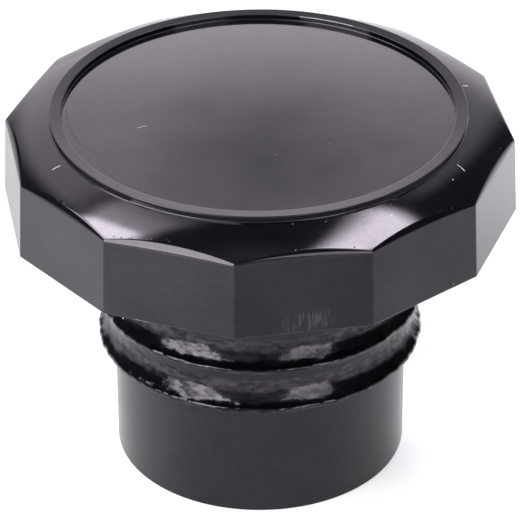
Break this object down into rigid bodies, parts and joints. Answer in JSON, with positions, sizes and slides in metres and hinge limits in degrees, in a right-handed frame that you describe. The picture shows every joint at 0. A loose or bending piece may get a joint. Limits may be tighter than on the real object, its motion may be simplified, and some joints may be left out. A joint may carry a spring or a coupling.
{
  "type": "moped fuel cap",
  "caption": "Push-in fuel tank cap: a twelve-sided grip head with a raised ring round a smooth top panel, over a hollow plug with two flared sealing lips.",
  "frame": {"origin": "centre of the plug's open end, in the plane of its rim, on which the cap stands", "axes": "+Z along the axis of the plug, up through the head; -Y through the corner between two flats that faces the viewer in the picture"},
  "size_m": [0.048, 0.048, 0.0358],
  "materials": {
    "cap_plastic": "black, glossy on the crown and the lips, satin on the top panel, the flats and the barrel"
  },
  "bodies": {
    "root": {"fuel_cap": "cap_plastic"}
  },
  "joints": []
}
